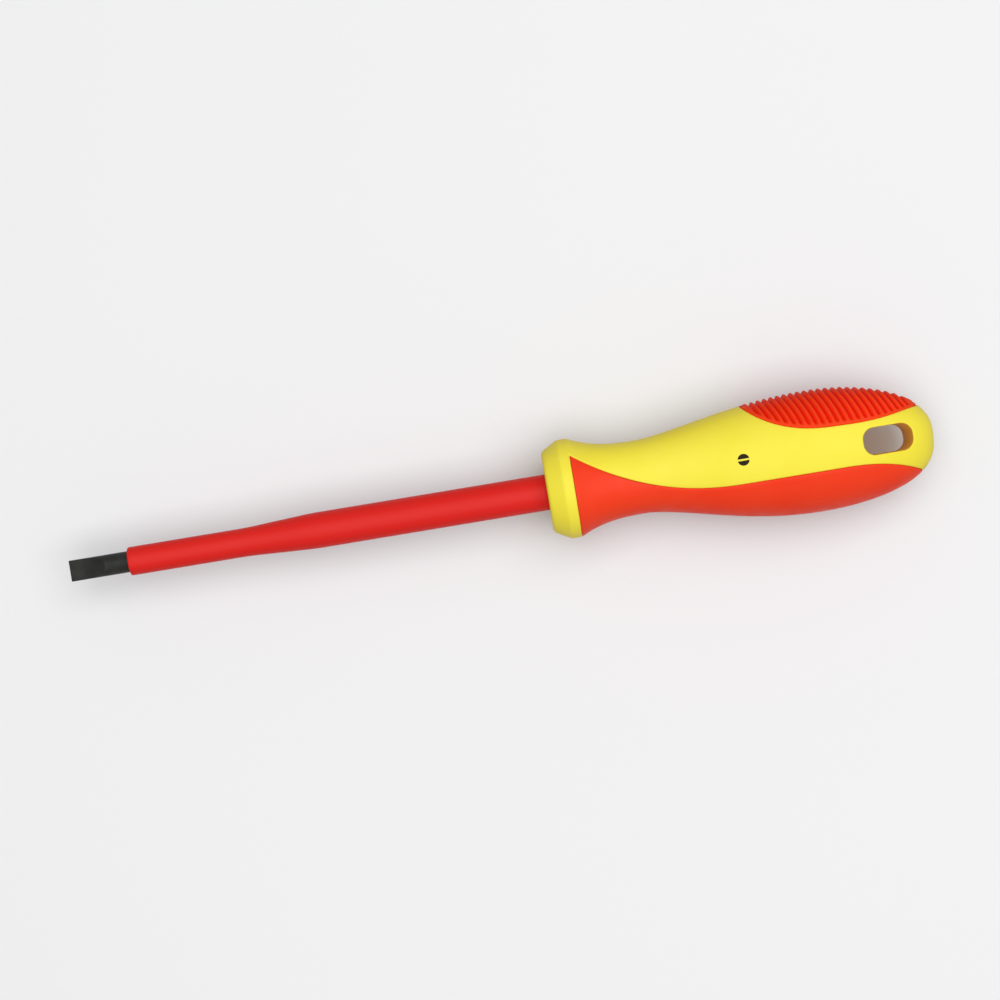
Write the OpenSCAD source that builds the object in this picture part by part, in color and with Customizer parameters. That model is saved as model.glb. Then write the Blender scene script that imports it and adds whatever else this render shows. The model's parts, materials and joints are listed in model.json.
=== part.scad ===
// Insulated slotted screwdriver with a two-material handle.
// The blade axis is the X axis, with the tip at -X and the butt at +X. The thumb pad faces +Y,
// the palm grip faces -Y, and the hanging slot runs along Z.
// The origin is on the blade axis, in the plane of the collar's front face.

/* [Blade] */
// Diameter of the steel bar, which is also the width of its tip
bar_d = 5.5; // [4:0.5:6.5]
// Thickness of the ground tip
tip_t = 1; // [0.6:0.1:1.6]
// Length from the collar's front face to the tip
blade_l = 125; // [110:5:200]
// Length of bare steel ahead of the sleeve
bare_l = 15.5; // [12:0.5:18]
// Length of the two ground flats
grind_l = 9.5; // [7:0.5:11]
// Length of the parallel land at the very tip
land_l = 2; // [1:0.5:3]
// Bevel along the edges of the tip's end
tip_bevel = 0.15; // [0.05:0.05:0.3]
// Depth of the bar inside the handle
tang_l = 62; // [50:1:68]
// Span across the pair of anchor wings pressed out of the bar
wing_w = 8.6; // [7.5:0.1:10]
// Thickness of the wings
wing_t = 2.2; // [1.6:0.1:3]
// Length of the wings along the bar
wing_l = 9; // [6:1:12]
// Distance from the wings to the buried end of the bar
wing_inset = 8; // [4:1:14]

/* [Sleeve] */
// Wall of the sleeve over its slim front stretch
sleeve_slim_wall = 0.95; // [0.8:0.05:1.3]
// Wall of the sleeve over its straight stretch at the collar
sleeve_full_wall = 1.9; // [1.5:0.1:2.5]
// Length of the straight stretch ahead of the collar
sleeve_straight_l = 61.3; // [40:0.1:70]
// Length of the cone between the two stretches
sleeve_cone_l = 17; // [8:1:24]
// Radius of the rounded lip around the bare steel
sleeve_lip_r = 0.5; // [0.2:0.1:0.7]
// Length of the cone by which the sleeve narrows to its root inside the collar
sleeve_shoulder_l = 1; // [1:0.5:3]
// Wall of the root that is buried in the handle
sleeve_root_wall = 1.2; // [0.9:0.1:1.4]
// Length of the buried root
sleeve_root_l = 18; // [12:1:24]
// Height of the anchor rings on the root
ring_h = 0.6; // [0.3:0.1:0.9]
// Number of anchor rings
ring_count = 3; // [2:1:4]

/* [Collar] */
// Diameter over the collar's rim
collar_d = 25.7; // [24:0.1:28]
// Diameter of the collar's flat front face
collar_face_d = 20.8; // [18:0.1:22]
// Length of the bevel between the front face and the rim
collar_bevel_l = 4.4; // [3:0.1:5]
// Length of the collar, front face to the palm grip
collar_l = 7; // [6:0.1:9]
// Radius that rounds both ends of the bevel
collar_round_r = 1.5; // [0.5:0.1:2]

/* [Handle] */
// Length of the handle, front face to butt
handle_l = 100.3; // [96:0.1:110]
// Diameter at the neck
neck_d = 19; // [17:0.5:21]
// Distance from the front face to the neck
neck_x = 24.5; // [20:0.5:28]
// Height of the belly, thumb side to palm side
belly_h = 31.4; // [28:0.2:34]
// Width of the belly, flank to flank
belly_w = 28.5; // [27:0.1:31]
// How far the belly is set over towards the palm
belly_shift = 0.8; // [0:0.1:1.5]
// Distance from the belly to the butt
belly_inset = 31; // [28:0.5:34]
// Fullness of the butt on the thumb side, the palm side and the flanks
butt_fullness = [2.15, 3, 2.3];

/* [Hanging slot] */
// Length of the slot along the handle
slot_l = 13; // [11:0.5:14]
// Width of the slot
slot_w = 6.8; // [5.5:0.1:7]
// Radius of the slot's corners
slot_r = 3; // [1.5:0.1:3.2]
// Material left between the slot and the butt
slot_inset = 6.5; // [5.5:0.5:8]

/* [Soft grip] */
// Thickness of the soft layer
grip_t = 2; // [1.5:0.1:2.4]
// Height of the palm grip's edge above the axis at the collar
palm_front_y = 8.5; // [6:0.1:10]
// Depth of the palm grip's edge below the axis along the belly
palm_edge_y = 6.2; // [4.6:0.1:7]
// Length over which the edge falls from the collar to the belly
palm_flare_l = 43; // [30:1:50]
// Length over which the grip closes to its rounded end
palm_close_l = 21; // [16:1:26]
// Distance from the palm grip's end to the butt
palm_inset = 4; // [3:0.1:6]
// Length of the thumb pad
pad_l = 45; // [36:1:48]
// Half of the angle that the pad wraps round the handle
pad_angle = 71.5; // [50:0.5:75]
// Distance from the pad's end to the butt
pad_inset = 3.2; // [2.5:0.1:6]
// Distance from the pad's front end to its first groove
groove_inset = 2.1; // [1.8:0.1:4]
// Distance from the first groove of the pad to the second
rib_pitch = 1.6; // [1.5:0.05:3]
// Growth of that distance from each groove to the next, towards the butt
rib_growth = 0.028; // [0:0.002:0.04]
// Width of a groove at its mouth
groove_w = 0.9; // [0.6:0.05:1.1]
// Depth of a groove below the handle's surface
groove_t = 0.45; // [0.2:0.05:0.7]
// Height of the ribs above the handle's surface
rib_rise = 0.15; // [0:0.05:0.4]
// Radius of the arc that the ribs follow across the handle
rib_arc_r = 26; // [20:1:60]
// Width of the plain rim round the ribs
rim_w = 0.8; // [0.5:0.1:1.5]

/* [Hidden] */
$fn = 96;

// Clearance between pieces that are moulded onto one another
bond_gap = 0.02;
// Width of the seam between the hard core and the soft grips
seam_gap = 0.1;

bar_r = bar_d / 2;
collar_r = collar_d / 2;
belly_x = handle_l - belly_inset;
thumb_belly_r = belly_h / 2 - belly_shift;
palm_belly_r = belly_h / 2 + belly_shift;
flank_belly_r = belly_w / 2;
slot_x = handle_l - slot_inset - slot_l / 2;
slot_y = (thumb_belly_r - palm_belly_r) / 2;

// The two soft grips end in short blunt edges rather than in points.
blunt = 0.12;
pad_end = handle_l - pad_inset;
pad_mid = pad_end - pad_l / 2;
pad_first = pad_end - pad_l + blunt;
pad_last = pad_end - blunt;
palm_end = handle_l - palm_inset;
palm_last = palm_end - blunt;

// Segments across each zone of the handle's section
pad_steps = 6;
band_steps = 7;
palm_steps = 8;

// ---- The handle's shape ----

function ease(t, power) = (1 - cos(180 * pow(t, power))) / 2;

// Half size of the handle at x: it flares from the neck to the collar, swells to the belly and
// rounds off to the butt. Ahead of the collar's back it tapers away inside the collar.
function half_size(x, belly, fullness) =
    x < collar_l ? collar_r + seam_gap / 3 - (collar_l - x)
    : x < neck_x ? neck_d / 2 + (collar_r + seam_gap / 3 - neck_d / 2)
        * pow((neck_x - x) / (neck_x - collar_l), 2.7)
    : x < belly_x ? neck_d / 2 + (belly - neck_d / 2) * ease((x - neck_x) / (belly_x - neck_x), 0.76)
    : belly * pow(max(0, 1 - pow((x - belly_x) / belly_inset, 2)), 1 / fullness);

function thumb_r(x) = half_size(x, thumb_belly_r, butt_fullness[0]);
function palm_r(x) = half_size(x, palm_belly_r, butt_fullness[1]);
function flank_r(x) = half_size(x, flank_belly_r, butt_fullness[2]);

// Point on the handle at x and at an angle from the thumb side, raised by rise
function skin_point(x, angle, rise = 0) = [
    x,
    ((cos(angle) > 0 ? thumb_r(x) : palm_r(x)) + rise) * cos(angle),
    (flank_r(x) + rise) * sin(angle)
];

function degrees_of(arc, radius) = arc / radius * 180 / PI;
seam_angle = degrees_of(seam_gap, neck_d / 2);

// ---- Outline of the palm grip ----

// Height of the palm grip's edge: it drops from the collar, runs level and closes at the end
function palm_edge(x) =
    (palm_front_y + palm_edge_y) * pow(max(0, 1 - (x - collar_l) / palm_flare_l), 2.25)
    - palm_edge_y
    - (palm_r(palm_end) - palm_edge_y)
        * pow(max(0, 1 - (palm_end - x) / palm_close_l), 2.3);

// Half of the angle that the palm grip wraps at x
function palm_half_angle(x) =
    let (at = min(max(x, collar_l), palm_last), edge = palm_edge(at))
    acos(min(1, max(-1, -edge / (edge < 0 ? palm_r(at) : thumb_r(at)))));

function in_palm(x) = x < palm_last + blunt / 4;

// ---- Outline of the thumb pad ----

// Half of the angle that the pad wraps at x: an oval, blunter at the butt
function pad_half_angle(x) =
    let (at = min(max(x, pad_first), pad_last),
        s = (at - pad_mid) / (pad_l / 2),
        power = s < 0 ? 2.35 : 2.75)
    pad_angle * pow(1 - pow(abs(s), power), 1 / power);

function in_pad(x) = x > pad_first - blunt / 4 && x < pad_last + blunt / 4;

// ---- Lofting ----

function sorted(v) = len(v) < 2 ? v :
    let (pivot = v[floor(len(v) / 2)])
    concat(sorted([for (y = v) if (y < pivot) y]), [pivot], sorted([for (y = v) if (y > pivot) y]));

function facet(points, a, b, c) =
    points[a] == points[b] || points[b] == points[c] || points[c] == points[a] ? [] : [[a, b, c]];

function quad(points, a, b, c, d) = concat(facet(points, a, b, c), facet(points, a, c, d));

function joined(lists) = [for (list = lists) each list];

// Sides of a loft through rings of n points each
function loft_sides(points, rings, n) = joined([
    for (i = [0 : rings - 2], j = [0 : n - 1])
        let (k = (j + 1) % n)
        quad(points, i * n + j, (i + 1) * n + j, (i + 1) * n + k, i * n + k)
]);

// Solid loft through closed rings, each end closed onto a point on the axis
module solid_loft(rings, start, end) {
    n = len(rings[0]);
    last = (len(rings) - 1) * n;
    points = concat(joined(rings), [start, end]);
    caps = joined([
        for (j = [0 : n - 1])
            let (k = (j + 1) % n)
            concat(
                facet(points, len(points) - 2, j, k),
                facet(points, len(points) - 1, last + k, last + j))
    ]);
    polyhedron(points, concat(loft_sides(points, len(rings), n), caps), convexity = 6);
}

// Loft of a curved strip: each ring runs out along the outer side and back along the inner side
module strip_loft(rings) {
    n = len(rings[0]);
    last = (len(rings) - 1) * n;
    points = joined(rings);
    caps = joined([
        for (j = [0 : n / 2 - 2])
            concat(
                quad(points, j, j + 1, n - 2 - j, n - 1 - j),
                quad(points, last + j + 1, last + j, last + n - 1 - j, last + n - 2 - j))
    ]);
    polyhedron(points, concat(loft_sides(points, len(rings), n), caps), convexity = 6);
}

// Stations along the handle: even along the neck, closer towards the ends of the pad and the butt
neck_step = 3;
walls = [pad_first - blunt / 2, pad_last + blunt / 2, palm_last + blunt / 2];
stations = sorted(concat(
    [collar_l - 2],
    [for (x = [collar_l : neck_step : pad_first - neck_step / 2]) x],
    [for (a = [8 : 7.45 : 174]) pad_mid - pad_l / 2 * cos(a)],
    [for (back = [0.6, 1.6]) palm_last - back],
    [for (a = [68 : 4 : 88]) belly_x + belly_inset * sin(a)],
    [pad_first, pad_last, palm_last],
    walls));

// ---- Blade ----

module along_x() {
    rotate([0, 90, 0]) children();
}

// The stretch of the blade that the sleeve and the core hold, grown by gap
module tang(gap) {
    translate([-blade_l + bare_l / 2, 0, 0])
        along_x() cylinder(r = bar_r + gap, h = blade_l - bare_l / 2 + tang_l + gap);
    translate([tang_l - wing_inset - wing_l / 2, 0, 0])
        cube([wing_l + 2 * gap, wing_w + 2 * gap, wing_t + 2 * gap], center = true);
}

// Space that the grinding wheel clears above the tip, hollow ground into the bar
module grind_space() {
    rise = (bar_d - tip_t) / 2;
    run = grind_l - land_l;
    wheel_r = (run * run + rise * rise) / (2 * rise);
    translate([-blade_l + land_l, bar_d, tip_t / 2 + wheel_r]) {
        rotate([90, 0, 0]) cylinder(r = wheel_r, h = 2 * bar_d);
        translate([-2 * land_l, -2 * bar_d, -wheel_r]) cube([2 * land_l, 2 * bar_d, 2 * wheel_r]);
    }
}

module blade() {
    color("dimgray") difference() {
        union() {
            translate([-blade_l, 0, 0]) along_x() {
                cylinder(r1 = bar_r - tip_bevel, r2 = bar_r, h = tip_bevel);
                translate([0, 0, tip_bevel]) cylinder(r = bar_r, h = bare_l);
            }
            tang(0);
        }
        grind_space();
        mirror([0, 0, 1]) grind_space();
    }
}

// ---- Sleeve ----

// Root of the sleeve with its anchor rings, grown by gap, as a profile of radius and x. The sleeve
// enters the collar at its full size, so that the collar's face closes round it.
module root_profile(gap) {
    full_r = bar_r + sleeve_full_wall + gap;
    root_r = bar_r + sleeve_root_wall + gap;
    ring_l = (sleeve_root_l - sleeve_shoulder_l) / (2 * ring_count + 1);
    polygon([[0, -gap], [full_r, -gap], [root_r, sleeve_shoulder_l],
        [root_r, sleeve_root_l + gap], [0, sleeve_root_l + gap]]);
    for (i = [1 : ring_count])
        translate([0, sleeve_shoulder_l + (2 * i - 1) * ring_l - gap])
            square([root_r + ring_h, ring_l + 2 * gap]);
}

module sleeve() {
    slim_r = bar_r + sleeve_slim_wall;
    full_r = bar_r + sleeve_full_wall;
    front = -blade_l + bare_l;
    cone_end = -sleeve_straight_l;
    color("crimson") along_x() rotate_extrude() difference() {
        union() {
            polygon(concat(
                [[0, front], [slim_r - sleeve_lip_r, front]],
                [for (a = [15 : 15 : 75]) [
                    slim_r - sleeve_lip_r * (1 - sin(a)),
                    front + sleeve_lip_r * (1 - cos(a))]],
                [[slim_r, front + sleeve_lip_r], [slim_r, cone_end - sleeve_cone_l],
                    [full_r, cone_end], [full_r, 0], [0, 0]]));
            root_profile(0);
        }
        translate([0, -blade_l]) square([bar_r + bond_gap, blade_l + handle_l]);
    }
}

// ---- Handle core ----

// Points of the arc that rounds the corner b of a profile between a and c
function rounded(a, b, c, r) =
    let (u = (a - b) / norm(a - b), v = (c - b) / norm(c - b),
        half = acos(u * v) / 2,
        middle = b + (u + v) / norm(u + v) * r / sin(half),
        from = b + u * r / tan(half) - middle,
        to = b + v * r / tan(half) - middle,
        sweep = 180 - 2 * half,
        steps = 5)
    [for (i = [0 : steps])
        middle + (from * sin(sweep * (1 - i / steps)) + to * sin(sweep * i / steps)) / sin(sweep)];

module collar() {
    centre = [0, 0];
    face = [collar_face_d / 2, 0];
    rim = [collar_r, collar_bevel_l];
    back = [collar_r, collar_l];
    along_x() rotate_extrude() polygon(concat(
        [centre],
        rounded(centre, face, rim, collar_round_r),
        rounded(face, rim, back, collar_round_r),
        [back, [0, collar_l]]));
}

// One side of the core's section at x, from the thumb side to the palm side. The recesses for the
// soft grips are sunk by their thickness and the seam.
function core_side(x, side) =
    let (pad = pad_half_angle(x), palm = 180 - palm_half_angle(x), sunk = -grip_t - seam_gap)
    concat(
        [for (k = [0 : pad_steps])
            skin_point(x, side * pad * k / pad_steps, in_pad(x) ? sunk : 0)],
        [for (k = [0 : band_steps])
            skin_point(x, side * (pad + (palm - pad) * k / band_steps))],
        [for (k = [0 : palm_steps])
            skin_point(x, side * (palm + (180 - palm) * k / palm_steps), in_palm(x) ? sunk : 0)]);

function core_ring(x) =
    let (near = core_side(x, 1), far = core_side(x, -1))
    concat(near, [for (k = [len(far) - 2 : -1 : 1]) far[k]]);

module slot_outline() {
    square([slot_l - 2 * slot_r, slot_w], center = true);
    square([slot_l, slot_w - 2 * slot_r], center = true);
    for (x = [-1, 1], y = [-1, 1])
        translate([x * (slot_l / 2 - slot_r), y * (slot_w / 2 - slot_r)]) circle(slot_r);
}

module handle_core() {
    color("gold") difference() {
        union() {
            collar();
            solid_loft([for (x = stations) core_ring(x)], [collar_l - 2, 0, 0], [handle_l, 0, 0]);
        }
        along_x() rotate_extrude() root_profile(bond_gap);
        tang(bond_gap);
        translate([slot_x, slot_y, -belly_w]) linear_extrude(2 * belly_w) slot_outline();
    }
}

// ---- Soft grips ----

// Section of the palm grip at x: outer side one way, inner side back
function palm_ring(x) =
    let (half = palm_half_angle(x) - min(seam_angle, palm_half_angle(x) / 4))
    concat(
        [for (k = [-palm_steps : palm_steps]) skin_point(x, 180 + half * k / palm_steps)],
        [for (k = [palm_steps : -1 : -palm_steps])
            skin_point(x, 180 + half * k / palm_steps, -grip_t)]);

module palm_grip() {
    front = collar_l + seam_gap;
    back = palm_last - seam_gap;
    inner = [for (x = stations) if (x > front && x < back) x];
    color("orangered") strip_loft([for (x = concat([front], inner, [back])) palm_ring(x)]);
}

// How far a rib has bent towards the butt at an angle from the thumb side
function rib_bend(angle) =
    rib_arc_r - sqrt(rib_arc_r * rib_arc_r - pow(flank_belly_r * sin(angle), 2));

// Angle at which the rib line that starts at s meets the pad's outline, found by halving
function rib_end_angle(s, low = 0, high = 85, turns = 18) =
    let (middle = (low + high) / 2)
    turns == 0 ? middle
    : pad_half_angle(s + rib_bend(middle)) > middle ? rib_end_angle(s, middle, high, turns - 1)
    : rib_end_angle(s, low, middle, turns - 1);

// Places of the grooves along the middle of the pad, up to a rib short of its rear rim
grooves = [
    for (i = [0 : 40])
        let (s = pad_end - pad_l + groove_inset + rib_pitch * i + rib_growth / 2 * i * i)
        if (s < pad_last - rim_w - rib_pitch) s
];

// Angles across the pad from its middle to its edge, each with its share of the ribs' relief
rib_steps = 7;
function rib_angles(edge) =
    let (rim = min(degrees_of(rim_w, flank_belly_r), edge * 0.3), inner = edge - 1.5 * rim)
    concat(
        [for (k = [0 : rib_steps]) [inner * k / rib_steps, 1]],
        [[edge - rim, 0], [edge, 0]]);

// Section of the pad along the rib line that starts at s, raised by relief between its rims
function pad_ring(s, relief) =
    let (edge = rib_end_angle(s),
        half = rib_angles(edge - min(seam_angle, edge / 4)),
        n = len(half) - 1,
        across = concat([for (k = [n : -1 : 1]) [-half[k][0], half[k][1]]], half))
    concat(
        [for (p = across) skin_point(s + rib_bend(p[0]), p[0], p[1] * relief)],
        [for (k = [len(across) - 1 : -1 : 0])
            skin_point(s + rib_bend(across[k][0]), across[k][0], -grip_t)]);

module thumb_pad() {
    color("orangered") strip_loft(concat(
        [for (back = [0, 0.35]) pad_ring(pad_first + seam_gap + back, 0)],
        [for (g = grooves) each [
            pad_ring(g - groove_w / 2, rib_rise),
            pad_ring(g, -groove_t),
            pad_ring(g + groove_w / 2, rib_rise)]],
        [for (back = [0.35, 0]) pad_ring(pad_last - seam_gap - back, 0)]));
}

blade();
sleeve();
handle_core();
palm_grip();
thumb_pad();
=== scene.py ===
# An insulated slotted screwdriver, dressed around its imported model
import math

import bmesh
import bpy
from mathutils import Matrix, Vector
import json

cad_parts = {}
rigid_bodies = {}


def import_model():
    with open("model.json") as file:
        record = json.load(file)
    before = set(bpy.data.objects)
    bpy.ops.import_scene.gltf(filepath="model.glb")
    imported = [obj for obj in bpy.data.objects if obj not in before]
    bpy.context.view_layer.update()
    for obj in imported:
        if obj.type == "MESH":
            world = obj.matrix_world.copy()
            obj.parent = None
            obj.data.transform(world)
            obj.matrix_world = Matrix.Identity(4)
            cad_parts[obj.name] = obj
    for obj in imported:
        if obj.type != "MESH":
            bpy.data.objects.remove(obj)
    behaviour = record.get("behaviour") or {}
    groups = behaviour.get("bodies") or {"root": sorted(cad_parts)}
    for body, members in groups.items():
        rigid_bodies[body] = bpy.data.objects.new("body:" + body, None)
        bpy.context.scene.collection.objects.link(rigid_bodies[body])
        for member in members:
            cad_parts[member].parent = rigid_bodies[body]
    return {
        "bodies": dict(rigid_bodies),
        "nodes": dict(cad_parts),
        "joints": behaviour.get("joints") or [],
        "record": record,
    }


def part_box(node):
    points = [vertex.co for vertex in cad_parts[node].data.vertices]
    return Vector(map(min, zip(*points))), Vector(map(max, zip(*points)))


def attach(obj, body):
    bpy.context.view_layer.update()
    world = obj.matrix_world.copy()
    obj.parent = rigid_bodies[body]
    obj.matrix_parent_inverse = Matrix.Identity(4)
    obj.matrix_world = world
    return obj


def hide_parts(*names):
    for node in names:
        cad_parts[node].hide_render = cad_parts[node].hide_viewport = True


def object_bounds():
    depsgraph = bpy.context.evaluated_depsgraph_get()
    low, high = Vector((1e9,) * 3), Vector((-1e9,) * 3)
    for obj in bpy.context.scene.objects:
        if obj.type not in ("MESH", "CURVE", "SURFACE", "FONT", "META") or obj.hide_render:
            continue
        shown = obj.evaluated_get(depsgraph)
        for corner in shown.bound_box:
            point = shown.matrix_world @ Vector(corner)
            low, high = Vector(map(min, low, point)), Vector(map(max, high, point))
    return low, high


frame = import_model()
cadLow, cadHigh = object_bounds()
print("frame loaded")

mm = 0.001  # shapes are worked out in millimetres and brought to metres at the end
weldDist = 0.0015  # points closer than this become one
planeDist = 0.001  # points closer than this to the middle plane lie in it


def boxOf(node):
    low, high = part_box(node)
    return low / mm, high / mm


bladeLow, bladeHigh = boxOf("blade")
sleeveLow, sleeveHigh = boxOf("sleeve")
coreHigh = boxOf("handle_core")[1]
palmLow, palmHigh = boxOf("palm_grip")
padLow, padHigh = boxOf("thumb_pad")
ribRise = 0.15  # of the pad's ribs above the form of the handle

viewpoint = {
    "eye": (-2.0, 68.3, 650.0),  # over the collar, a little to the thumb side
    "turn": 9.48,  # degrees that the blade axis climbs to the right
    "roll": 5.75,  # degrees that the tool is rolled, thumb side up
    "width": 258.0,  # of what is seen, at the tool
}


def addCamera():
    roll = Matrix.Rotation(math.radians(viewpoint["roll"]), 3, "X")
    eye = roll @ Vector(viewpoint["eye"])
    target = Vector(((bladeLow.x + coreHigh.x) / 2, 0, 0))
    back = (eye - target).normalized()
    turn = math.radians(viewpoint["turn"])
    right = roll @ Vector((math.cos(turn), -math.sin(turn), 0))
    right = (right - back * right.dot(back)).normalized()
    lens = bpy.data.cameras.new("camera")
    lens.sensor_width = 36
    lens.lens = lens.sensor_width * (eye - target).length / viewpoint["width"]
    lens.clip_start = 0.01
    camera = bpy.data.objects.new("camera", lens)
    bpy.context.scene.collection.objects.link(camera)
    camera.matrix_world = Matrix((right, back.cross(right), back)).transposed().to_4x4()
    camera.location = eye * mm
    bpy.context.scene.camera = camera


addCamera()
print("camera ready")


def mix(a, b, t):
    return a + (b - a) * t


def smooth(t):
    t = min(1, max(0, t))
    return t * t * (3 - 2 * t)


def spread(a, b, count):
    return [mix(a, b, k / count) for k in range(count + 1)]


def layGrid(bm, rows):
    # a flat grid, whose crossings are drawn onto the points of the rows
    lastRow, lastColumn = len(rows) - 1, len(rows[0]) - 1
    made = bmesh.ops.create_grid(bm, x_segments=lastRow, y_segments=lastColumn, size=1)
    for v in made["verts"]:
        i = round((v.co.x + 1) / 2 * lastRow)
        j = round((v.co.y + 1) / 2 * lastColumn)
        v.co = rows[i][j]
    return made["verts"]


def weld(bm, verts=None):
    bmesh.ops.remove_doubles(bm, verts=verts or bm.verts, dist=weldDist)


def mirrorHalf(bm):
    # the half is on the +Z side; what lies in the plane itself goes before the mirror
    weld(bm)
    flat = [f for f in bm.faces if all(abs(v.co.z) < planeDist for v in f.verts)]
    bmesh.ops.delete(bm, geom=flat, context="FACES")
    loose = [v for v in bm.verts if not v.link_faces]
    bmesh.ops.delete(bm, geom=loose, context="VERTS")
    geom = bm.verts[:] + bm.edges[:] + bm.faces[:]
    bmesh.ops.mirror(bm, geom=geom, matrix=Matrix.Identity(4), merge_dist=planeDist, axis="Z")
    weld(bm)


def makePiece(bm, name, material, sharp=40, stands=()):
    bmesh.ops.recalc_face_normals(bm, faces=bm.faces)
    openEdges = sum(1 for e in bm.edges if len(e.link_faces) != 2)
    bmesh.ops.scale(bm, vec=(mm, mm, mm), verts=bm.verts)
    mesh = bpy.data.meshes.new(name)
    bm.to_mesh(mesh)
    bm.free()
    mesh.shade_smooth()
    mesh.set_sharp_from_angle(angle=math.radians(sharp))
    mesh.materials.append(material)
    piece = bpy.data.objects.new(name, mesh)
    bpy.context.scene.collection.objects.link(piece)
    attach(piece, "root")
    if stands:
        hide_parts(*stands)
    print(f"{name}: {len(mesh.polygons)} faces, {openEdges} open edges")


def rgb(red, green, blue):
    return (red, green, blue, 1)


def newMaterial(name, **sockets):
    material = bpy.data.materials.new(name)
    material.use_nodes = True
    shader = material.node_tree.nodes["Principled BSDF"]
    for socket, value in sockets.items():
        shader.inputs[socket.replace("_", " ")].default_value = value
    place = material.node_tree.nodes.new("ShaderNodeTexCoord").outputs["Object"]
    return material, shader, place


def feed(socket, value):
    # an output is linked, anything else is set
    if isinstance(value, bpy.types.NodeSocket):
        socket.id_data.links.new(value, socket)
    else:
        socket.default_value = value


def addNode(shader, kind, settings=None, **sockets):
    node = shader.id_data.nodes.new("ShaderNode" + kind)
    for name, value in (settings or {}).items():
        setattr(node, name, value)
    for name, value in sockets.items():
        feed(node.inputs[name.replace("_", " ")], value)
    return node


def calc(shader, kind, operation, *values):
    # a Math or VectorMath node, with its values in the order of its inputs
    node = addNode(shader, kind, {"operation": operation})
    for socket, value in zip(node.inputs, values):
        feed(socket, value)
    return node.outputs["Value" if operation == "LENGTH" else 0]


def fadeBetween(shader, value, start, end, low=0.0, high=1.0):
    ends = {"From_Min": start, "From_Max": end, "To_Min": low, "To_Max": high}
    return addNode(shader, "MapRange", Value=value, **ends).outputs["Result"]


def join(shader, output, socket):
    feed(shader.inputs[socket], output)


def noise(shader, place, scale, detail, stretch):
    # scale is in features per metre
    moved = addNode(shader, "Mapping", Vector=place, Scale=stretch).outputs["Vector"]
    return addNode(shader, "TexNoise", Vector=moved, Scale=scale, Detail=detail).outputs["Fac"]


def ramp(shader, fac, stops):
    node = addNode(shader, "ValToRGB", Fac=fac)
    elements = node.color_ramp.elements
    while len(elements) < len(stops):
        elements.new(0.5)
    for element, (position, colour) in zip(elements, stops):
        element.position = position
        element.color = colour if hasattr(colour, "__len__") else (colour,) * 3 + (1,)
    return node.outputs["Color"]


def mottle(shader, place, scale, pair, detail=3, stretch=(1, 1, 1), band=(0.3, 0.7)):
    # drifts between two shades, or between two numbers
    return ramp(shader, noise(shader, place, scale, detail, stretch), list(zip(band, pair)))


def grain(shader, place, scale, depth, strength, detail=3, stretch=(1, 1, 1)):
    fine = noise(shader, place, scale, detail, stretch)
    node = addNode(shader, "Bump", Height=fine, Distance=depth * mm, Strength=strength)
    join(shader, node.outputs["Normal"], "Normal")


# the handle's outer form, shared by the core and both soft grips
form = {
    "length": coreHigh.x,
    "collarR": 12.85,
    "collarL": 7.0,
    "neckR": 9.5,
    "neckX": 24.5,
    "bellyX": coreHigh.x - 31.0,
    "thumbR": padHigh.y - ribRise,  # of the belly, on each side
    "palmR": -palmLow.y,
    "flankR": coreHigh.z,
    "thumbFull": 2.15,  # how full the butt is on each side
    "palmFull": 3.0,
    "flankFull": 2.3,
    "flare": 2.7,  # how late the neck opens to the collar
    "swell": 0.76,  # how early the belly rises from the neck
}


def girth(x, belly, fullness):
    if x < form["collarL"]:
        return form["collarR"]
    if x < form["neckX"]:
        t = (form["neckX"] - x) / (form["neckX"] - form["collarL"])
        return mix(form["neckR"], form["collarR"], t ** form["flare"])
    if x < form["bellyX"]:
        t = (x - form["neckX"]) / (form["bellyX"] - form["neckX"])
        return mix(form["neckR"], belly, (1 - math.cos(math.pi * t ** form["swell"])) / 2)
    t = (x - form["bellyX"]) / (form["length"] - form["bellyX"])
    return belly * max(0, 1 - t * t) ** (1 / fullness)


def radii(x, angle):
    # thumb or palm side first, then the flank
    if math.cos(angle) > 0:
        upright = girth(x, form["thumbR"], form["thumbFull"])
    else:
        upright = girth(x, form["palmR"], form["palmFull"])
    return upright, girth(x, form["flankR"], form["flankFull"])


def skin(x, angle, rise=0):
    # angle is taken from the thumb side
    upright, flank = radii(x, angle)
    return Vector((x, (upright + rise) * math.cos(angle), (flank + rise) * math.sin(angle)))


def skinNormal(x, angle, step=0.02, turn=0.002, poleClear=0.05):
    x = min(x, form["length"] - poleClear)
    along = skin(x + step, angle) - skin(x - step, angle)
    around = skin(x, angle + turn) - skin(x, angle - turn)
    return around.cross(along).normalized()


def angleOf(point):
    upright, flank = radii(point.x, 0 if point.y > 0 else math.pi)
    return math.atan2(point.z * upright, point.y * flank)


def flankHeight(x, y):
    upright, flank = radii(x, 0 if y > 0 else math.pi)
    return flank * math.sqrt(max(0, 1 - (y / upright) ** 2))


endGap = 0.22  # from a grip's own end to the end of its outline
softGrip = {
    "thick": 2.0,
    "seam": 0.1,  # clearance all round
    "lip": 0.3,  # radius of the soft edges
    "levelX": 60.0,  # up to here the palm grip's rows turn from level to square to its edge
    "palmFrontY": 8.5,
    "palmLevelY": -6.2,
    "palmFlareL": 43.0,
    "palmFlarePower": 2.25,
    "palmCloseL": 21.0,
    "palmClosePower": 2.3,
    "palmEnd": palmHigh.x + endGap,
    "padFront": padLow.x - endGap,
    "padEnd": padHigh.x + endGap,
    "padAngle": math.radians(71.5),
    "padFrontPower": 2.35,
    "padEndPower": 2.75,
}
padMid = (softGrip["padFront"] + softGrip["padEnd"]) / 2
padHalf = (softGrip["padEnd"] - softGrip["padFront"]) / 2


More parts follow.
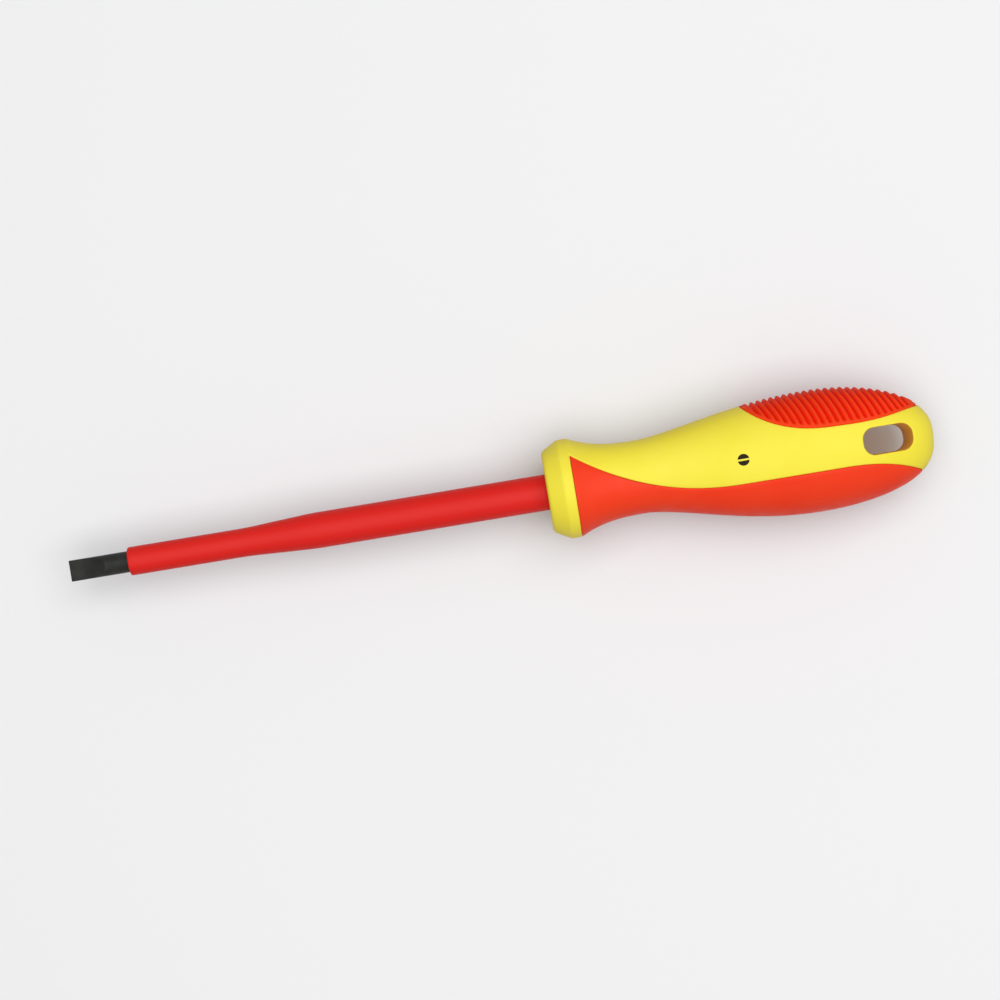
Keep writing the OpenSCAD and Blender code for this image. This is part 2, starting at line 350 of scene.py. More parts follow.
def palmEdge(x):
    # angle at which the palm grip starts
    level, end = softGrip["palmLevelY"], softGrip["palmEnd"]
    left = max(0, 1 - (x - form["collarL"]) / softGrip["palmFlareL"])
    fall = left ** softGrip["palmFlarePower"]
    close = max(0, 1 - (end - x) / softGrip["palmCloseL"]) ** softGrip["palmClosePower"]
    height = level + (softGrip["palmFrontY"] - level) * fall
    height -= (radii(end, math.pi)[0] + level) * close
    upright = radii(x, 0 if height > 0 else math.pi)[0]
    return math.acos(min(1, max(-1, height / upright)))


def padPower(x):
    return softGrip["padFrontPower"] if x < padMid else softGrip["padEndPower"]


def padEdge(x, inset=0):
    # half of the angle that the pad wraps at x
    power = padPower(x)
    s = min(1, abs(x - padMid) / (padHalf - inset))
    return (softGrip["padAngle"] - inset / form["flankR"]) * (1 - s**power) ** (1 / power)


def levelShare(x, level):
    # near the collar, rows stay in planes square to the blade
    return smooth((x - form["collarL"]) / (level - form["collarL"]))


def levelNormal(x, angle, level):
    normal = skinNormal(x, angle)
    if level and x < level:
        flat = Vector((0, normal.y, normal.z)).normalized()
        normal = mix(flat / flat.dot(normal), normal, levelShare(x, level))
    return normal


def edgeFrames(outline, thumbSide, level=None):
    # place on the skin, way out of the grip and normal, for each point of an outline
    frames = []
    last = len(outline) - 1
    for k, (x, angle) in enumerate(outline):
        point, normal = skin(x, angle), skinNormal(x, angle)
        if abs(point.z) < planeDist:
            heading = Vector((0, 0, 1 if k < last / 2 else -1))
        else:
            before, after = outline[max(k - 1, 0)], outline[min(k + 1, last)]
            ahead, behind = skin(*after), skin(*before)
            heading = (ahead - behind).normalized()
        out = heading.cross(normal) if thumbSide else normal.cross(heading)
        out.normalize()
        if level and x < level:
            across = Vector((1, 0, 0)).cross(normal).normalized()
            across *= 1 if across.dot(out) > 0 else -1
            out = mix(across / across.dot(out), out, levelShare(x, level))
            normal = levelNormal(x, angle, level)
        frames.append((point, out, normal))
    return frames


lipTurns = [math.radians(a) for a in (90, 67.5, 45, 22.5, 0)]
lipR = softGrip["lip"]


def lipDrop(distance):
    # how far a soft edge falls away at a distance from its wall
    reach = min(lipR, max(0, lipR - distance))
    return lipR - math.sqrt(lipR * lipR - reach * reach)


def recessLip(frame):
    # from the skin down into a recess
    point, out, normal = frame
    return [
        point + out * lipR * (1 - math.cos(t)) - normal * lipR * (1 - math.sin(t))
        for t in lipTurns
    ]


core = {
    "faceR": 10.4,
    "bevelL": 4.4,
    "bevelRound": 1.5,
    "mouthR": 0.2,  # softened mouth round the sleeve
    "bond": 0.02,  # clearance to what is moulded in
    "columns": {"pad": 8, "band": 24, "palm": 16},
    "rows": {"front": 44, "pad": 84, "butt": 16},
    "lipClear": 0.06,  # between a soft edge and the next row of the skin
    "slotX": form["length"] - 13.0,  # the slot's middle
    "slotY": (form["thumbR"] - form["palmR"]) / 2,  # midway between the bellies
    "slotL": 13.2,
    "slotW": 7.0,
    "slotR": 3.0,
    "slotLip": 0.35,
    "slotMargin": (0.9, 0.45),  # of skin laid anew round the lip, along and across
    "slotGrid": 1.0,  # between the points of the slot's outline
    "flankZ": 4.0,  # near the slot, only the skin of the flank is higher
}
root = {
    "barR": 2.75,
    "shoulderL": 1.0,
    "wall": 1.2,
    "length": sleeveHigh.x,
    "rings": 3,
    "ringH": 0.6,
    "boreRows": 12,
}


def roundCorner(a, b, c, radius, steps=6):
    u, v = (a - b).normalized(), (c - b).normalized()
    half = u.angle(v) / 2
    middle = b + (u + v).normalized() * radius / math.sin(half)
    start = b + u * radius / math.tan(half) - middle
    end = b + v * radius / math.tan(half) - middle
    sweep = math.pi - 2 * half
    points = []
    for turn in spread(0, sweep, steps):
        way = start * math.sin(sweep - turn) + end * math.sin(turn)
        points.append(middle + way / math.sin(sweep))
    return points


def rootSteps(gap):
    # x and radius along the sleeve's buried root, from its end to the collar's face
    inner = root["barR"] + root["wall"] + gap
    ringL = (root["length"] - root["shoulderL"]) / (2 * root["rings"] + 1)
    steps = [(root["length"] + gap, inner)]
    for k in reversed(range(root["rings"])):
        start = root["shoulderL"] + (2 * k + 1) * ringL
        steps += [(start + ringL + gap, inner), (start + ringL + gap, inner + root["ringH"])]
        steps += [(start - gap, inner + root["ringH"]), (start - gap, inner)]
    return steps + [(root["shoulderL"], inner), (0, sleeveHigh.y + gap)]


def collarSteps():
    gap = core["bond"]
    deep, bore = bladeHigh.x + gap, root["barR"] + gap
    steps = [(deep, 0)]
    steps += [(x, bore) for x in spread(deep, root["length"] + gap, root["boreRows"])]
    steps += rootSteps(gap)[:-1]
    mouth = sleeveHigh.y + gap
    soft = core["mouthR"]
    steps += [(soft, mouth), (soft / 3, mouth + soft / 3), (0, mouth + soft)]
    steps += [(0, r) for r in spread(mouth + soft, core["faceR"] - core["bevelRound"], 4)[1:]]
    centre, face = Vector((0, 0)), Vector((0, core["faceR"]))
    rim = Vector((core["bevelL"], form["collarR"]))
    back = Vector((form["collarL"], form["collarR"]))
    steps += [tuple(p) for p in roundCorner(centre, face, rim, core["bevelRound"])]
    steps += [tuple(mix(face, rim, t)) for t in (0.4, 0.6)]
    steps += [tuple(p) for p in roundCorner(face, rim, back, core["bevelRound"])]
    level = spread(rim.x + core["bevelRound"], back.x - lipR, 3)
    steps += [(x, form["collarR"]) for x in level[1:-1]]
    return steps


def coreStations():
    # the two edges of each row: on the thumb side, and on the palm side
    rows = core["rows"]
    clear = lipR + core["lipClear"]
    padFront, padEnd = softGrip["padFront"], softGrip["padEnd"]
    palmEnd = softGrip["palmEnd"]
    frontEnd = padFront - clear
    firstGap = 0.004 * (palmEnd - frontEnd)  # keeps the palm side of the next row off the last
    plain = spread(form["collarL"], frontEnd, rows["front"])
    front = [((x, 0), (x, palmEdge(x))) for x in plain]
    grips = []
    for k in range(rows["pad"] + 1):
        share = (1 - math.cos(math.pi * k / rows["pad"])) / 2
        thumbX = mix(padFront, padEnd, share)
        palmX = mix(frontEnd + firstGap, palmEnd, share)
        grips.append(((thumbX, padEdge(thumbX)), (palmX, palmEdge(palmX))))
    butt = []
    reach = form["length"] - form["bellyX"]
    starts = [math.asin((x + clear - form["bellyX"]) / reach) for x in (padEnd, palmEnd)]
    for share in spread(0, 1, rows["butt"]):
        turns = [mix(start, math.pi / 2, share) for start in starts]
        thumbX, palmX = [form["bellyX"] + reach * math.sin(turn) for turn in turns]
        butt.append(((thumbX, 0), (palmX, math.pi)))
    return front, grips, butt


def bandPoints(start, end):
    # the yellow skin between the two grips, ends left out
    a, b = Vector((start.x, angleOf(start))), Vector((end.x, angleOf(end)))
    count = core["columns"]["band"]
    return [skin(*mix(a, b, k / count)) for k in range(1, count)]


def coreRow(thumb, palm, padFrame, palmFrame, frontGap=None):
    # one row of the half skin, from the thumb side round to the palm side
    columns = core["columns"]
    sunk = -softGrip["thick"] - softGrip["seam"]
    if padFrame:
        floor = [skin(thumb[0], a, sunk) for a in spread(0, thumb[1], columns["pad"])]
        lip = recessLip(padFrame)[::-1]
    else:
        floor = [skin(*thumb)] * (columns["pad"] + 1)
        lip = [skin(*thumb)] * len(lipTurns)
    if palmFrame:
        farLip = recessLip(palmFrame)
        farFloor = [skin(palm[0], a, sunk) for a in spread(palm[1], math.pi, columns["palm"])]
    else:
        farLip = [skin(*palm)] * len(lipTurns)
        farFloor = [skin(*palm)] * (columns["palm"] + 1)
    if frontGap is not None:
        # the collar's own back edge rounds down only where the grip meets it
        point, out, normal = palmFrame
        for k, t in enumerate(lipTurns):
            side = lipR * (1 - math.cos(t))
            farLip[k] = point + out * side - normal * lipDrop(math.hypot(side, frontGap))
        drop = lipDrop(frontGap)
        farFloor = [skin(palm[0], a, -drop) for a in spread(palm[1], math.pi, columns["palm"])]
    band = bandPoints(lip[-1], farLip[0])
    return floor + lip + band + farLip + farFloor


def coreSections():
    front, grips, butt = coreStations()
    padFrames = edgeFrames([thumb for thumb, palm in grips], True)
    palmOutline = [palm for thumb, palm in front + grips]
    palmFrames = edgeFrames(palmOutline, False, softGrip["levelX"])
    sections = []
    for t in lipTurns:
        gap = lipR * (1 - math.cos(t))
        x = form["collarL"] - gap
        edge = (x, palmEdge(form["collarL"]))
        point = skin(*edge)
        normal = Vector((0, point.y, point.z)).normalized()
        across = Vector((1, 0, 0)).cross(normal)
        across *= 1 if across.y > 0 else -1
        slant = palmFrames[0][1].length
        sections.append(coreRow((x, 0), edge, None, (point, across * slant, normal), gap))
    for k, (thumb, palm) in enumerate(front):
        sections.append(coreRow(thumb, palm, None, palmFrames[k]))
    for k, (thumb, palm) in enumerate(grips):
        sections.append(coreRow(thumb, palm, padFrames[k], palmFrames[len(front) + k]))
    for thumb, palm in butt:
        sections.append(coreRow(thumb, palm, None, None))
    angles = [angleOf(p) for p in sections[0]]
    rings = []
    for x, r in collarSteps():
        rings.append([Vector((x, r * math.cos(a), r * math.sin(a))) for a in angles])
    return rings + sections


def slotOutline(grow):
    # rounded rectangle round the hanging slot, as x and y
    r = core["slotR"]
    halfL, halfW = core["slotL"] / 2 - r, core["slotW"] / 2 - r
    points = []
    for k, (sx, sy) in enumerate(((1, 1), (-1, 1), (-1, -1), (1, -1))):
        middle = Vector((core["slotX"] + sx * halfL, core["slotY"] + sy * halfW))
        for a in spread(k * math.pi / 2, (k + 1) * math.pi / 2, 8):
            points.append(middle + Vector((math.cos(a), math.sin(a))) * (r + grow))
    filled = []
    for k, p in enumerate(points):
        after = points[(k + 1) % len(points)]
        steps = max(1, round((after - p).length / core["slotGrid"]))
        filled += [mix(p, after, n / steps) for n in range(steps)]
    return filled


def cutSlot(bm):
    # opens the flank, lines the slot down to the middle plane and joins the two
    lip, (marginX, marginY) = core["slotLip"], core["slotMargin"]
    reachX = core["slotL"] / 2 + lip + marginX
    reachY = core["slotW"] / 2 + lip + marginY
    cut = []
    for f in bm.faces:
        middle = f.calc_center_median()
        near = abs(middle.x - core["slotX"]) < reachX and abs(middle.y - core["slotY"]) < reachY
        if near and middle.z > core["flankZ"]:
            cut.append(f)
    bmesh.ops.delete(bm, geom=cut, context="FACES")
    rows = []
    for t in spread(math.pi / 2, 0, 6):
        grow = lip * (1 - math.cos(t))
        drop = lip * (1 - math.sin(t))
        outline = slotOutline(grow)
        rows.append([Vector((p.x, p.y, flankHeight(p.x, p.y) - drop)) for p in outline])
    mouth = rows[-1]
    for share in spread(1, 0, 5)[1:]:
        rows.append([Vector((p.x, p.y, p.z * share)) for p in mouth])
    weld(bm, layGrid(bm, [row + row[:1] for row in rows]))
    rims = [e for e in bm.edges if e.is_boundary]
    rims = [e for e in rims if min(v.co.z for v in e.verts) > core["flankZ"]]
    bridged = bmesh.ops.bridge_loops(bm, edges=rims)
    parts = bmesh.ops.subdivide_edges(bm, edges=bridged["edges"], cuts=1, use_grid_fill=True)
    for v in parts["geom_inner"]:
        if isinstance(v, bmesh.types.BMVert):
            v.co.z = flankHeight(v.co.x, v.co.y)


def makeCore(material):
    bm = bmesh.new()
    layGrid(bm, coreSections())
    weld(bm)
    cutSlot(bm)
    mirrorHalf(bm)
    makePiece(
        bm, "handleCore", material, stands=["handle_core"]
    )


def gripRow(points, frame, drop=0, level=None):
    # a soft grip is a curved sheet with soft edges and an underside
    # points run out from the middle line to the start of the lip; the underside repeats them
    point, out, normal = frame
    top, under = [], []
    thick = softGrip["thick"]
    for p in points:
        n = levelNormal(p.x, angleOf(p), level)
        top.append(p - n * drop)
        under.append(p - n * thick)
    for t in lipTurns[1:]:
        side = point + out * lipR * math.cos(t)
        top.append(side - normal * max(drop, lipR * (1 - math.sin(t))))
        under.append(side - normal * thick)
    return top, under


palmGrip = {"columns": 20, "rows": 60, "noseRows": 44}


def palmSections():
    inset = softGrip["seam"] + lipR
    wall = form["collarL"] + softGrip["seam"]
    lipRows = [wall + lipR * (1 - math.cos(t)) for t in reversed(lipTurns)]
    turnX = softGrip["levelX"]
    plain = spread(wall + lipR, turnX, palmGrip["rows"])[1:]
    turns = spread(0, math.pi / 2, palmGrip["noseRows"])[1:]
    nose = [mix(turnX, softGrip["palmEnd"], math.sin(turn)) for turn in turns]
    outline = [(x, palmEdge(x)) for x in lipRows + plain + nose]
    frames = edgeFrames(outline, False, turnX)
    sections = []
    for k, (point, out, normal) in enumerate(frames):
        edge = point - out * inset
        x, angle = edge.x, angleOf(edge) if abs(edge.z) > planeDist else math.pi
        edge = skin(x, angle)
        points = [skin(x, a) for a in spread(math.pi, angle, palmGrip["columns"])]
        drop = lipDrop(outline[k][0] - wall)
        top, under = gripRow(points, (edge, out, normal), drop, turnX)
        if k == 0:
            sections.append(under + under[::-1])
        sections.append(top + under[::-1])
    return sections


def makePalm(material):
    bm = bmesh.new()
    layGrid(bm, palmSections())
    mirrorHalf(bm)
    makePiece(bm, "palmGrip", material, stands=["palm_grip"])


thumbPad = {
    "columns": 40,
    "rows": 250,
    "firstGroove": 2.5,  # from the pad's front end
    "lastGroove": 2.5,  # kept clear at the rear
    "pitch": 1.65,  # at the first groove
    "growth": 0.017,  # of the pitch, from each groove to the next
    "grooveShare": 0.5,  # half of a groove's width over the pitch
    "grooveDeep": 0.62,  # below the form of the handle
    "arcR": 28.0,  # the ribs follow arcs across the handle
    "rim": 0.8,  # plain rim round the ribs
    "fade": 0.6,  # over which a groove runs out at the rim
    "tipRows": 12,  # closer rows at both ends
    "tipL": 1.2,
}


def ribBend(angle):
    across = form["flankR"] * math.sin(angle)
    return thumbPad["arcR"] - math.sqrt(thumbPad["arcR"] ** 2 - across * across)


def ribEnd(s, inset):
    # where the rib line that starts at s meets the pad's edge
    low, high = 0.0, math.radians(85)
    for halving in range(24):
        middle = (low + high) / 2
        if padEdge(s + ribBend(middle), inset) > middle:
            low = middle
        else:
            high = middle
    return (low + high) / 2


def rimDistance(x, angle):
    # about how far inside the pad's edge a point is
    power = padPower(x)
    u, v = abs(x - padMid) / padHalf, abs(angle) / softGrip["padAngle"]
    size = (u**power + v**power) ** (1 / power)
    if size < 0.2:
        return math.inf  # the middle is far from any edge
    gu = (u / size) ** (power - 1) / padHalf
    gv = (v / size) ** (power - 1) / (softGrip["padAngle"] * form["flankR"])
    return (1 - size) / math.hypot(gu, gv)


def grooveStarts():
    # where the grooves cross the middle of the pad
    first = softGrip["padFront"] + thumbPad["firstGroove"]
    last = softGrip["padEnd"] - thumbPad["lastGroove"]
    places = [first]
    while places[-1] < last:
        k = len(places)
        places.append(first + (thumbPad["pitch"] * k + thumbPad["growth"] / 2 * k * k))
    return places[:-1]


grooves = grooveStarts()


def ribHeight(s, x, angle):
    off, k = min((abs(s - place), k) for k, place in enumerate(grooves))
    off /= thumbPad["grooveShare"] * (thumbPad["pitch"] + thumbPad["growth"] * k)
    inside = smooth((rimDistance(x, angle) - thumbPad["rim"]) / thumbPad["fade"])
    drop = (ribRise + thumbPad["grooveDeep"]) * (1 + math.cos(math.pi * min(1, off))) / 2
    return (ribRise - drop) * inside


def padSections():
    inset = softGrip["seam"] + lipR
    start, end = softGrip["padFront"] + inset, softGrip["padEnd"] - inset
    tipL, tipRows = thumbPad["tipL"], thumbPad["tipRows"]
    tip = [tipL * (k / tipRows) ** 2 for k in range(tipRows)]
    stations = [start + t for t in tip] + spread(start + tipL, end - tipL, thumbPad["rows"])
    stations += [end - t for t in reversed(tip)]
    outline = []
    for s in stations:
        angle = ribEnd(s, inset)
        if s in (stations[0], stations[-1]):
            angle = 0
        outline.append((s + ribBend(angle), angle))
    frames = edgeFrames(outline, True)
    sections = []
    for s, (x, edge), (point, out, normal) in zip(stations, outline, frames):
        points = []
        for a in spread(0, edge, thumbPad["columns"]):
            across = s + ribBend(a)
            p = skin(across, a)
            points.append((p, p + skinNormal(across, a) * ribHeight(s, across, a)))
        top, under = gripRow([p for p, raised in points], (point, out, normal))
        top[: len(points)] = [raised for p, raised in points]
        sections.append(top + under[::-1])
    return sections


def makePad(material):
    bm = bmesh.new()
    layGrid(bm, padSections())
    mirrorHalf(bm)
    # the ribs' height, which drives the pad's painted shade in the grooves and painted
    # highlight on the crests
    relief = bm.verts.layers.float.new("relief")
    for v in bm.verts:
        angle = angleOf(v.co)
        above = ribHeight(v.co.x - ribBend(angle), v.co.x, angle) + thumbPad["grooveDeep"]
        v[relief] = above / (ribRise + thumbPad["grooveDeep"])
    makePiece(bm, "thumbPad", material, sharp=60, stands=["thumb_pad"])


sleeve = {
    "slimR": 3.7,
    "fullR": sleeveHigh.y,
    "straightL": 61.3,
    "coneL": 17.0,
    "blend": 90.0,  # radius of the soft bends at both ends of the cone
    "bendL": 3.0,  # each bend is shorter than this, to either side
    "lip": 0.5,
    "innerLip": 0.15,
    "lipClear": 1.0,  # from the front to the first plain row
    "faceClear": 0.5,  # from the last plain row to the collar's face
    "around": 96,
}


def sleeveProfile():
    slim, full = sleeve["slimR"], sleeve["fullR"]
    front, cone = sleeveLow.x, -sleeve["straightL"]
    bore, soft = root["barR"] + core["bond"], sleeve["innerLip"]
    coneStart = cone - sleeve["coneL"]
    corners = ((front, bore), (front, slim), (coneStart, slim), (cone, full), (0, full))
    corners = [Vector(corner) for corner in corners]
    path = [(front + soft, bore), (front, bore + soft)]
    path += roundCorner(*corners[0:3], sleeve["lip"], 8)
    slimStart, slimEnd = front + sleeve["lipClear"], coneStart - sleeve["bendL"]
    path += [(x, slim) for x in spread(slimStart, slimEnd, 12)]
    path += roundCorner(*corners[1:4], sleeve["blend"], 10)
    path += roundCorner(*corners[2:5], sleeve["blend"], 10)
    path += [(x, full) for x in spread(cone + sleeve["bendL"], -sleeve["faceClear"], 20)]
    path += reversed(rootSteps(0))
    path += [(x, bore) for x in spread(root["length"], front + soft, 24)[:-1]]
    return path


def makeSleeve(material):
    bm = bmesh.new()
    verts = [bm.verts.new((x, r, 0)) for x, r in sleeveProfile()]
    edges = [bm.edges.new(pair) for pair in zip(verts, verts[1:] + verts[:1])]
    bmesh.ops.spin(
        bm, geom=verts + edges, cent=(0, 0, 0), axis=(1, 0, 0), angle=math.tau,
        steps=sleeve["around"], use_merge=True,
    )
    weld(bm)
    makePiece(bm, "insulatingSleeve", material, stands=["sleeve"])


blade = {
    "tipHalf": 0.5,
    "landL": 2.0,
    "grindL": 9.5,
    "tipBevel": 0.15,
    "bevelTurn": 0.3,  # to the bevel's second row
    "arcColumns": 8,
    "flatColumns": 10,
    "grindRows": 28,
    "rowL": 6.0,  # about the length of a row inside the sleeve and the handle
    "wingX": (45.0, 54.0),
    "wingHalf": 4.3,
    "wingRoot": 2.5,  # the wings are pressed out of what lies beyond this
    "wingHalfT": 1.1,
}


def groundHalf(x):
    # half thickness left by the grinding wheel at x from the tip
    rise, run = root["barR"] - blade["tipHalf"], blade["grindL"] - blade["landL"]
    wheel = (run * run + rise * rise) / (2 * rise)
    away = x - blade["landL"]
    if away <= 0:
        return blade["tipHalf"]
    if away >= run:
        return root["barR"]
    return blade["tipHalf"] + wheel - math.sqrt(wheel * wheel - away * away)


def bladeRow(x, shrink=0.0):
    # upper half of the section, from the thumb side over the top
    radius = root["barR"] - shrink
    half = min(groundHalf(x - bladeLow.x) - shrink, radius)
    rise = math.asin(half / radius)
    reach = radius * math.cos(rise)
    turns = spread(0, rise, blade["arcColumns"])
    arc = [Vector((x, radius * math.cos(a), radius * math.sin(a))) for a in turns]
    flat = [Vector((x, y, half)) for y in spread(reach, -reach, blade["flatColumns"])]
    return arc + flat + [Vector((p.x, -p.y, p.z)) for p in reversed(arc)]


def makeBlade(material):
    start, bevel = bladeLow.x, blade["tipBevel"]
    land, run = start + blade["landL"], start + blade["grindL"]
    end = bladeRow(start, bevel)
    rows = [[Vector((start, p.y, 0)) for p in end], end]
    for t in spread(blade["bevelTurn"], math.pi / 2, 4):
        rows.append(bladeRow(start + bevel * (1 - math.cos(t)), bevel * (1 - math.sin(t))))
    rows += [bladeRow(x) for x in spread(start + bevel, land, 3)[1:]]
    for turn in spread(0, math.pi / 2, blade["grindRows"])[1:]:
        rows.append(bladeRow(mix(land, run, math.sin(turn))))
    rows += [bladeRow(x) for x in spread(run, sleeveLow.x, 6)[1:]]
    front, back = blade["wingX"]
    stops = [sleeveLow.x, front, back, bladeHigh.x]
    for a, b in zip(stops, stops[1:]):
        rows += [bladeRow(x) for x in spread(a, b, max(2, round((b - a) / blade["rowL"])))[1:]]
    rows.append([Vector((bladeHigh.x, 0, 0))] * len(rows[0]))
    bm = bmesh.new()
    layGrid(bm, rows)
    mirrorHalf(bm)
    for side in (1, -1):
        pressed = []
        for f in bm.faces:
            x, y, z = f.calc_center_median()
            beyond = side * y > blade["wingRoot"] and abs(z) < blade["wingHalfT"]
            if front < x < back and beyond:
                pressed.append(f)
        made = bmesh.ops.extrude_face_region(bm, geom=pressed)
        bmesh.ops.delete(bm, geom=pressed, context="FACES")
        for v in made["geom"]:
            if isinstance(v, bmesh.types.BMVert):
                v.co.y = side * blade["wingHalf"]
    makePiece(bm, "bladeBar", material, sharp=18, stands=["blade"])


# slot symbol printed on the flank, as two halves of a disc
mark = {
    "x": 50.2,
    "radius": 1.5,
    "barHalf": 0.24,  # half of the bare bar between the halves
    "ink": 0.03,
    "rows": 10,
    "columns": 28,
}


def makeMark(material):
    bm = bmesh.new()
    for side in (1, -1):
        rows = []
        for t in spread(0, 1, mark["rows"]):
            v = mix(mark["barHalf"], mark["radius"], math.sin(t * math.pi / 2))
            reach = math.sqrt(max(0, mark["radius"] ** 2 - v * v))
            along = spread(mark["x"] - reach, mark["x"] + reach, mark["columns"])
            sunk = mark["ink"] / 2
            rows.append([Vector((x, side * v, flankHeight(x, side * v) - sunk)) for x in along])
        layGrid(bm, rows)
    weld(bm)
    bmesh.ops.recalc_face_normals(bm, faces=bm.faces)
    for f in bm.faces:
        if f.normal.z < 0:
            f.normal_flip()
    bmesh.ops.solidify(bm, geom=bm.faces[:], thickness=-mark["ink"])
    makePiece(bm, "printedMark", material)


# what each finish drifts between, darker shade first
shades = {
    "yellow": (rgb(0.96, 0.825, 0.05), rgb(0.98, 0.86, 0.072)),
    "slotPaintedGlow": rgb(0.99, 0.4, 0.006),  # painted glow: warmer, standing in for the light that comes through the plastic there
    "palm": (rgb(0.94, 0.042, 0.008), rgb(0.97, 0.055, 0.013)),
    # the pad: painted shade in the grooves, plain red, then a painted highlight on the crests
    "pad": (rgb(0.7, 0.005, 0.001), rgb(0.95, 0.026, 0.004), rgb(0.99, 0.058, 0.01)),
    "sleeve": (rgb(0.73, 0.011, 0.007), rgb(0.77, 0.016, 0.011)),
    "steel": (rgb(0.018, 0.018, 0.017), rgb(0.029, 0.029, 0.027)),
    "ink": (rgb(0.016, 0.01, 0.004), rgb(0.026, 0.016, 0.007)),
}


def slotDistance(shader, place):
    # how far a point is from the line on which the slot's corners are centred, in metres
    r = core["slotR"]
    middle = (core["slotX"] * mm, core["slotY"] * mm, 0)
    half = ((core["slotL"] / 2 - r) * mm, (core["slotW"] / 2 - r) * mm, 0)
    moved = calc(shader, "VectorMath", "SUBTRACT", place, middle)
    away = calc(shader, "VectorMath", "ABSOLUTE", moved)
    past = calc(shader, "VectorMath", "SUBTRACT", away, half)
    outside = calc(shader, "VectorMath", "MAXIMUM", past, (0, 0, 0))
    flat = calc(shader, "VectorMath", "MULTIPLY", outside, (1, 1, 0))
    return calc(shader, "VectorMath", "LENGTH", flat)


def hardYellow():
    material, shader, place = newMaterial("hardYellow", Specular_IOR_Level=0.18)
    wall, soft = core["slotR"] * mm, 0.1 * mm
    outer = fadeBetween(shader, slotDistance(shader, place), wall - soft, wall + soft)
    plain = mottle(shader, place, 60, shades["yellow"])
    # the slot's wall takes a painted glow, warmer than the rest of the yellow
    colour = addNode(shader, "MixRGB", Fac=outer, Color1=shades["slotPaintedGlow"], Color2=plain)
    join(shader, colour.outputs["Color"], "Base Color")
    join(shader, mottle(shader, place, 300, (0.4, 0.5), detail=4), "Roughness")
    grain(shader, place, 2600, depth=0.02, strength=0.25, detail=2)
    return material


def softFinish(name, roughness, specular):
    material, shader, place = newMaterial(name, Specular_IOR_Level=specular)
    dull = mottle(shader, place, 400, (roughness - 0.05, roughness + 0.06))
    join(shader, dull, "Roughness")
    grain(shader, place, 3000, depth=0.03, strength=0.4)
    return material, shader, place


def softRed():
    material, shader, place = softFinish("palmRed", 0.48, 0.2)
    join(shader, mottle(shader, place, 90, shades["palm"]), "Base Color")
    return material


def ribbedRed():
    # painted shade deep in the grooves, a painted highlight on the crests
    material, shader, place = softFinish("padRed", 0.52, 0.1)
    relief = addNode(shader, "Attribute", {"attribute_name": "relief"}).outputs["Fac"]
    join(shader, ramp(shader, relief, list(zip((0, 0.3, 0.8), shades["pad"]))), "Base Color")
    return material


def sleeveRed():
    material, shader, place = newMaterial("sleeveRed", Roughness=0.48, Specular_IOR_Level=0.22)
    colour = mottle(shader, place, 40, shades["sleeve"], stretch=(0.3, 1, 1))
    join(shader, colour, "Base Color")
    grain(shader, place, 1500, depth=0.03, strength=0.3, stretch=(0.25, 1, 1))
    return material


def blackSteel():
    material, shader, place = newMaterial(
        "blackSteel", Metallic=0.4, Roughness=0.5, Specular_IOR_Level=0.16
    )
    join(shader, mottle(shader, place, 350, shades["steel"], detail=4), "Base Color")
    # marks of the grinding wheel, across the blade
    grain(shader, place, 2200, depth=0.02, strength=0.4, detail=2, stretch=(1, 0.05, 1))
    return material


def blackInk():
    material, shader, place = newMaterial("blackInk", Roughness=0.6, Specular_IOR_Level=0.1)
    worn = mottle(shader, place, 5000, shades["ink"], detail=2, band=(0.2, 0.8))
    join(shader, worn, "Base Color")
    return material


makeCore(hardYellow())
makePalm(softRed())
makePad(ribbedRed())
makeSleeve(sleeveRed())
makeBlade(blackSteel())
makeMark(blackInk())


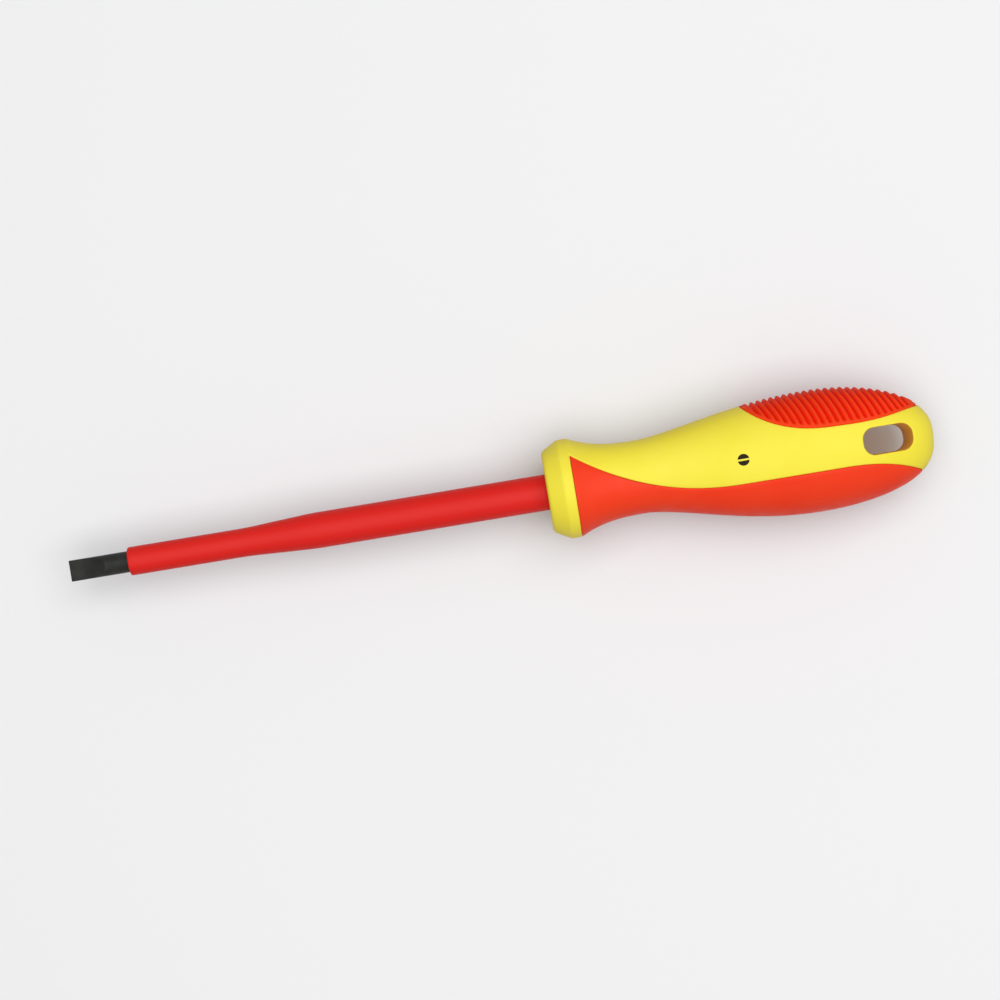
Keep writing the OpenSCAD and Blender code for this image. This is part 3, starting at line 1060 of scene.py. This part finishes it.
# the studio is in metres
studio = {
    "floorSize": 6.0,
    "floorSeen": (0.9, 0.9, 0.909),  # how pale the floor looks
    "floorGiven": (0.25, 0.14, 0.07),  # the light it gives back to the tool
    "world": 0.38,
    "farSeen": 0.88,  # how pale the distance looks
    "farFrom": 0.35,  # from the tool to where the floor starts to take that tone
    "farTo": 2.6,
    "keyAt": (0.15, 0.02, 1.1),
    "keySize": 1.4,
    "keyPower": 11.6,
}


def seenRays(shader):
    # 1 for the rays that show the surroundings, 0 for those that carry their light
    rays = addNode(shader, "LightPath").outputs
    seen = calc(shader, "Math", "MAXIMUM", rays["Is Camera Ray"], rays["Is Glossy Ray"])
    return calc(shader, "Math", "MAXIMUM", seen, rays["Is Transmission Ray"])


def addFloor():
    bm = bmesh.new()
    half = studio["floorSize"] / 2
    bmesh.ops.create_grid(bm, x_segments=2, y_segments=2, size=half)
    bmesh.ops.translate(bm, vec=(0, 0, cadLow.z), verts=bm.verts)
    mesh = bpy.data.meshes.new("floor")
    bm.to_mesh(mesh)
    bm.free()
    floor = bpy.data.objects.new("floor", mesh)
    bpy.context.scene.collection.objects.link(floor)
    material, shader, place = newMaterial("floorPale", Roughness=0.9, Specular_IOR_Level=0.1)
    seen = seenRays(shader)
    stops = [(0, rgb(*studio["floorGiven"])), (1, rgb(*studio["floorSeen"]))]
    join(shader, ramp(shader, seen, stops), "Base Color")
    away = calc(shader, "VectorMath", "LENGTH", place)
    far = fadeBetween(shader, away, studio["farFrom"], studio["farTo"], 0, studio["farSeen"])
    join(shader, calc(shader, "Math", "MULTIPLY", seen, far), "Emission Strength")
    mesh.materials.append(material)


def addLight():
    world = bpy.data.worlds.new("studio")
    world.use_nodes = True
    bpy.context.scene.world = world
    background = world.node_tree.nodes["Background"]
    background.inputs["Color"].default_value = rgb(1, 1, 1)
    seen = seenRays(background)
    strength = fadeBetween(background, seen, 0, 1, studio["world"], studio["farSeen"])
    join(background, strength, "Strength")
    light = bpy.data.lights.new("key", "AREA")
    light.shape = "SQUARE"
    light.size = studio["keySize"]
    light.energy = studio["keyPower"]
    lamp = bpy.data.objects.new("key", light)
    bpy.context.scene.collection.objects.link(lamp)
    lamp.location = studio["keyAt"]
    lamp.rotation_euler = (-lamp.location).to_track_quat("-Z", "Y").to_euler()


addFloor()
addLight()
bpy.context.scene.view_settings.view_transform = "Standard"
print("studio ready")
